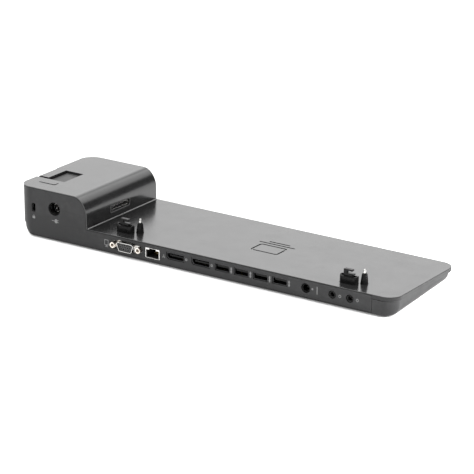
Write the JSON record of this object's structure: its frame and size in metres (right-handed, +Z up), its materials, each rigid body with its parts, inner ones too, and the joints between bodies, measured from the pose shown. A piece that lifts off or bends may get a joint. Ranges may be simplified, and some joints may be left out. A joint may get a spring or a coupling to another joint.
{
  "type": "laptop docking station",
  "caption": "Long wedge-shaped laptop dock: sloped platform with guide posts and latch hooks, a tower with a sliding docking lever and connector, and a row of ports along the rear.",
  "frame": {"origin": "on the ground, under the centre of the bounding box", "axes": "+X along the length towards the end with the tower, +Y to the rear with the ports, +Z up"},
  "size_m": [0.359, 0.1084, 0.0447],
  "materials": {
    "case_dark_grey": "fine satin grain",
    "deck_grey": "smooth satin",
    "gloss_black": "polished",
    "port_black": "matte",
    "black_nylon": "matte",
    "nickel": "plated, softly polished",
    "brass_plate": "pale plated",
    "dark_steel": "satin",
    "spring_steel": "satin",
    "screw_steel": "zinc plated",
    "gold_contact": "polished",
    "board_green": "lacquered laminate",
    "amber_film": "thin film",
    "foot_rubber": "matte"
  },
  "bodies": {
    "dock_base": {"lower_housing": "case_dark_grey", "rear_panel": "case_dark_grey", "platform_cover": "deck_grey", "tower_cover": "deck_grey", "vga_shell": "nickel", "vga_insert": "port_black", "jackscrew_1": "brass_plate", "jackscrew_2": "brass_plate", "rj45_shield": "nickel", "rj45_contacts": "gold_contact", "displayport_1_shell": "dark_steel", "displayport_2_shell": "dark_steel", "displayport_1_tongue": "port_black", "displayport_2_tongue": "port_black", "round_socket": "port_black", "audio_jack_1": "port_black", "audio_jack_2": "port_black", "power_jack_body": "port_black", "power_jack_sleeve": "nickel", "power_jack_pin": "nickel", "lock_plate": "dark_steel", "rocker_pivot_pin": "nickel", "hook_collar_1": "gloss_black", "hook_collar_2": "gloss_black", "guide_post_1": "gloss_black", "guide_post_2": "gloss_black", "post_tip_1": "nickel", "post_tip_2": "nickel", "slide_rail": "dark_steel", "detent_spring": "spring_steel", "flex_cable": "amber_film", "button_board": "board_green", "power_switch": "port_black", "main_board": "board_green", "shield_can": "nickel", "usb_1_shell": "dark_steel", "usb_1_tongue": "port_black", "rubber_foot_1": "foot_rubber", "case_screw_1": "screw_steel", "usb_2_shell": "dark_steel", "usb_2_tongue": "port_black", "rubber_foot_2": "foot_rubber", "case_screw_2": "screw_steel", "usb_3_shell": "dark_steel", "usb_3_tongue": "port_black", "rubber_foot_3": "foot_rubber", "case_screw_3": "screw_steel", "usb_4_shell": "dark_steel", "usb_4_tongue": "port_black", "rubber_foot_4": "foot_rubber", "case_screw_4": "screw_steel"},
    "lever_carriage": {"docking_lever": "deck_grey", "connector_carriage": "black_nylon", "dock_connector_shell": "nickel", "dock_connector_insert": "port_black"},
    "rocker": {"rocker_arm": "dark_steel"},
    "latch": {"latch_bar": "dark_steel", "latch_hook_1": "gloss_black", "latch_hook_2": "gloss_black"},
    "power_key": {"power_button": "deck_grey"}
  },
  "joints": [
    {"name": "docking_slide", "type": "slide", "parent": "dock_base", "child": "lever_carriage", "axis": [-1, 0, 0], "range_m": [0, 0.008]},
    {"name": "rocker_swing", "type": "hinge", "parent": "dock_base", "child": "rocker", "pos_m": [0.1275, 0.03339, 0.01673], "axis": [0, 0.0637, -0.998], "range_deg": [0, 19.21]},
    {"name": "latch_slide", "type": "slide", "parent": "dock_base", "child": "latch", "axis": [-1, 0, 0], "range_m": [0, 0.0032]},
    {"name": "power_key_press", "type": "slide", "parent": "dock_base", "child": "power_key", "axis": [0, 0.0637, -0.998], "range_m": [0, 0.0006], "stiffness_N_per_m": 1500, "springref_m": -0.0004}
  ],
  "couplings": [
    {"joint": "rocker_swing", "follows": "docking_slide", "rad_per_m": 41.862},
    {"joint": "latch_slide", "follows": "docking_slide", "ratio": 0.4}
  ]
}
